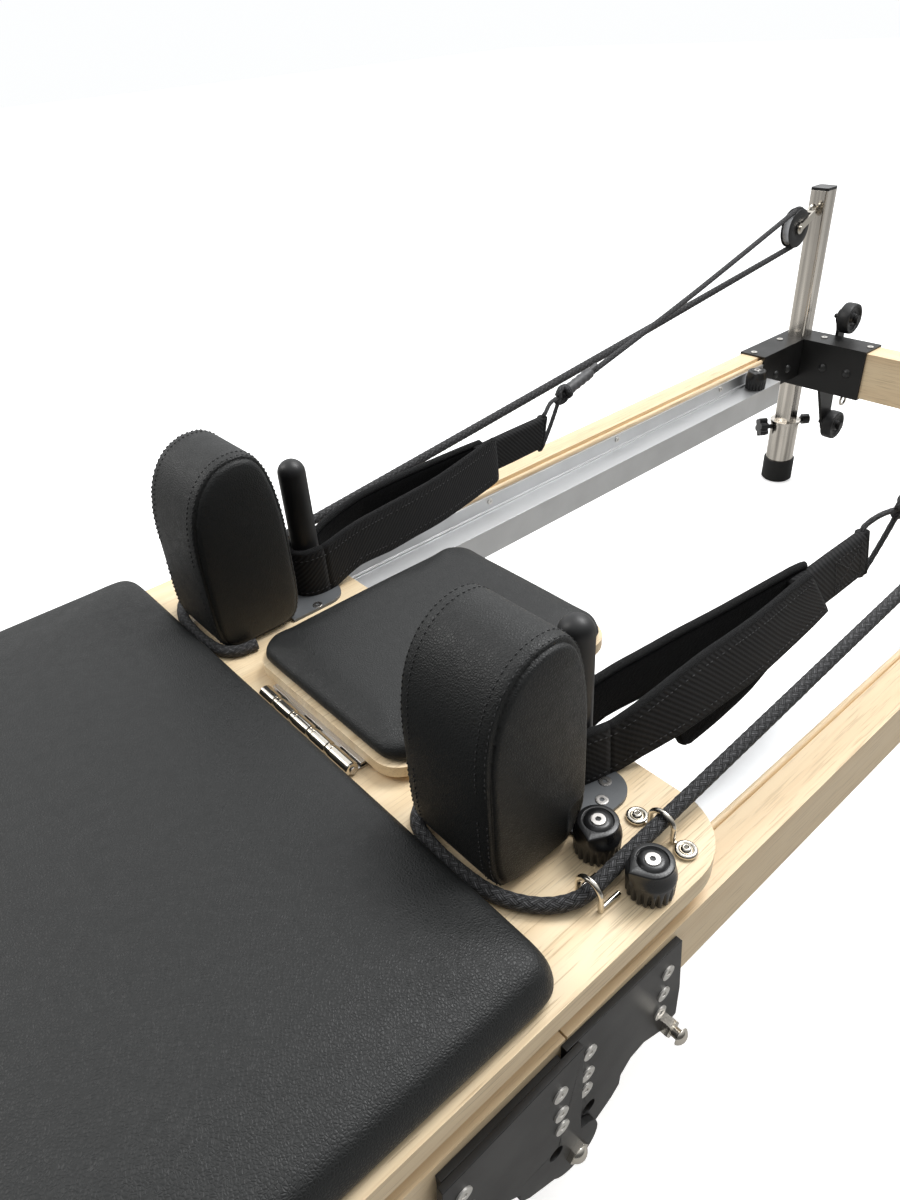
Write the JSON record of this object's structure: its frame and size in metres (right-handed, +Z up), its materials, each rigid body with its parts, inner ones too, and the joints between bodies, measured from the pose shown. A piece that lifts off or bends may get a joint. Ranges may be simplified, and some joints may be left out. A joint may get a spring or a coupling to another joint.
{
  "type": "pilates reformer",
  "caption": "Folding wooden pilates reformer with a sliding padded carriage, tilting headrest, shoulder rests, pulley risers, roped straps, footbar and end wheels.",
  "frame": {"origin": "on the floor, under the middle of the fold seam", "axes": "+X towards the head end, +Y towards the left rail, +Z up"},
  "size_m": [2.56, 0.633, 0.6453],
  "materials": {
    "rail_wood": "clear lacquered pale hardwood",
    "ply_wood": "clear lacquered pale hardwood ply",
    "track_aluminium": "satin anodised",
    "black_steel": "satin black powder coat",
    "plate_steel": "satin dark grey powder coat",
    "chrome_tube": "polished",
    "nickel": "bright nickel plate",
    "stainless": "brushed",
    "black_plastic": "semi-gloss moulded",
    "peg_plastic": "matte moulded",
    "rubber": "matte",
    "wheel_rubber": "matte tread on a plastic hub",
    "load_wheel": "smooth urethane",
    "black_leather": "fine pebbled leatherette",
    "rope_braid": "braided polyester",
    "strap_webbing": "padded webbing",
    "grip_foam": "soft foam",
    "spring_steel": "bright wire"
  },
  "bodies": {
    "head_frame": {"head_rails": "rail_wood", "head_end_bar": "rail_wood", "head_tracks": "track_aluminium", "head_corner_brackets": "black_steel", "head_risers": "chrome_tube", "riser_caps": "black_plastic", "pulley_eye_bolts": "nickel", "head_fold_plates": "black_steel", "fold_studs": "nickel", "head_screws": "stainless", "head_wheel_brackets": "black_steel", "tie_rings": "nickel"},
    "foot_frame": {"foot_rails": "rail_wood", "foot_end_bar": "rail_wood", "foot_tracks": "track_aluminium", "foot_corner_brackets": "black_steel", "foot_legs": "chrome_tube", "foot_leg_feet": "rubber", "foot_fold_plates": "black_steel", "fold_pivot_bolts": "nickel", "foot_screws": "stainless", "foot_wheel_brackets": "black_steel", "spring_bar": "black_steel", "foot_platform": "ply_wood", "footbar_brackets": "black_steel"},
    "footbar_arm": {"footbar": "chrome_tube", "footbar_grip": "grip_foam"},
    "carriage": {"carriage_board": "ply_wood", "carriage_pad": "black_leather", "wheel_hangers": "black_steel", "springs": "spring_steel", "shoulder_rest_left": "black_leather", "shoulder_rest_right": "black_leather", "strap_pegs": "peg_plastic", "peg_plates": "plate_steel", "rope_eyes": "nickel", "carriage_screws": "stainless", "carriage_hinge_leaf": "stainless", "ropes": "rope_braid", "straps": "strap_webbing"},
    "headrest": {"headrest_board": "ply_wood", "headrest_pad": "black_leather", "headrest_hinge_leaf": "stainless"},
    "knob_left_inner": {"rope_knob_left_inner": "black_plastic"},
    "knob_left_outer": {"rope_knob_left_outer": "black_plastic"},
    "knob_right_inner": {"rope_knob_right_inner": "black_plastic"},
    "knob_right_outer": {"rope_knob_right_outer": "black_plastic"},
    "block_left": {"pulley_block_left": "nickel"},
    "block_right": {"pulley_block_right": "nickel"},
    "sheave_left": {"pulley_sheave_left": "track_aluminium"},
    "sheave_right": {"pulley_sheave_right": "track_aluminium"},
    "front_wheels": {"front_load_wheels": "load_wheel"},
    "rear_wheels": {"rear_load_wheels": "load_wheel"},
    "end_wheels_upper": {"head_upper_wheels": "wheel_rubber"},
    "end_wheels_lower": {"head_lower_wheels": "wheel_rubber"},
    "end_wheels_foot": {"foot_lower_wheels": "wheel_rubber"},
    "stoppers": {"track_stoppers": "black_plastic"},
    "leg_adjusters": {"head_leg_sleeves": "chrome_tube", "head_leg_feet": "rubber", "head_leg_knobs": "black_plastic"}
  },
  "joints": [
    {"name": "fold", "type": "hinge", "parent": "head_frame", "child": "foot_frame", "pos_m": [0, 0, 0.142], "axis": [0, -1, 0], "range_deg": [0, 150]},
    {"name": "carriage_slide", "type": "slide", "parent": "head_frame", "child": "carriage", "axis": [1, 0, 0], "range_m": [0, 0.8], "deforming": ["ropes", "straps"]},
    {"name": "headrest_tilt", "type": "hinge", "parent": "carriage", "child": "headrest", "pos_m": [0.015, 0, 0.315], "axis": [0, -1, 0], "range_deg": [0, 40]},
    {"name": "footbar_pivot", "type": "hinge", "parent": "foot_frame", "child": "footbar_arm", "pos_m": [-1.01, 0, 0.302], "axis": [0, 1, 0], "range_deg": [-18, 72]},
    {"name": "front_wheel_spin", "type": "hinge", "parent": "carriage", "child": "front_wheels", "pos_m": [0.11, 0, 0.2636], "axis": [0, 1, 0], "continuous": true},
    {"name": "rear_wheel_spin", "type": "hinge", "parent": "carriage", "child": "rear_wheels", "pos_m": [-0.53, 0, 0.2636], "axis": [0, 1, 0], "continuous": true},
    {"name": "end_wheel_upper_spin", "type": "hinge", "parent": "head_frame", "child": "end_wheels_upper", "pos_m": [1.24, 0, 0.304], "axis": [0, 1, 0], "continuous": true},
    {"name": "end_wheel_lower_spin", "type": "hinge", "parent": "head_frame", "child": "end_wheels_lower", "pos_m": [1.255, 0, 0.108], "axis": [0, 1, 0], "continuous": true},
    {"name": "end_wheel_foot_spin", "type": "hinge", "parent": "foot_frame", "child": "end_wheels_foot", "pos_m": [-1.255, 0, 0.108], "axis": [0, 1, 0], "continuous": true},
    {"name": "stopper_slide", "type": "slide", "parent": "head_frame", "child": "stoppers", "axis": [1, 0, 0], "range_m": [-0.05, 0.02]},
    {"name": "leg_height", "type": "slide", "parent": "head_frame", "child": "leg_adjusters", "axis": [0, 0, 1], "range_m": [0, 0.035]},
    {"name": "pulley_left_swivel", "type": "hinge", "parent": "head_frame", "child": "block_left", "pos_m": [1.1665, 0.2694, 0.476], "axis": [0, 0, 1], "range_deg": [-25, 25]},
    {"name": "sheave_left_spin", "type": "hinge", "parent": "block_left", "child": "sheave_left", "pos_m": [1.124, 0.2644, 0.461], "axis": [0, 1, 0], "continuous": true},
    {"name": "rope_knob_left_inner_turn", "type": "hinge", "parent": "carriage", "child": "knob_left_inner", "pos_m": [0.093, 0.235, 0.3105], "axis": [0, 0, 1], "range_deg": [-90, 90]},
    {"name": "rope_knob_left_outer_turn", "type": "hinge", "parent": "carriage", "child": "knob_left_outer", "pos_m": [0.093, 0.279, 0.3105], "axis": [0, 0, 1], "range_deg": [-90, 90]},
    {"name": "pulley_right_swivel", "type": "hinge", "parent": "head_frame", "child": "block_right", "pos_m": [1.1665, -0.2694, 0.476], "axis": [0, 0, -1], "range_deg": [-25, 25]},
    {"name": "sheave_right_spin", "type": "hinge", "parent": "block_right", "child": "sheave_right", "pos_m": [1.124, -0.2644, 0.461], "axis": [0, 1, 0], "continuous": true},
    {"name": "rope_knob_right_inner_turn", "type": "hinge", "parent": "carriage", "child": "knob_right_inner", "pos_m": [0.093, -0.235, 0.3105], "axis": [0, 0, -1], "range_deg": [-90, 90]},
    {"name": "rope_knob_right_outer_turn", "type": "hinge", "parent": "carriage", "child": "knob_right_outer", "pos_m": [0.093, -0.279, 0.3105], "axis": [0, 0, -1], "range_deg": [-90, 90]}
  ],
  "couplings": [
    {"joint": "front_wheel_spin", "follows": "carriage_slide", "rad_per_m": 45.455},
    {"joint": "rear_wheel_spin", "follows": "carriage_slide", "rad_per_m": 45.455}
  ]
}
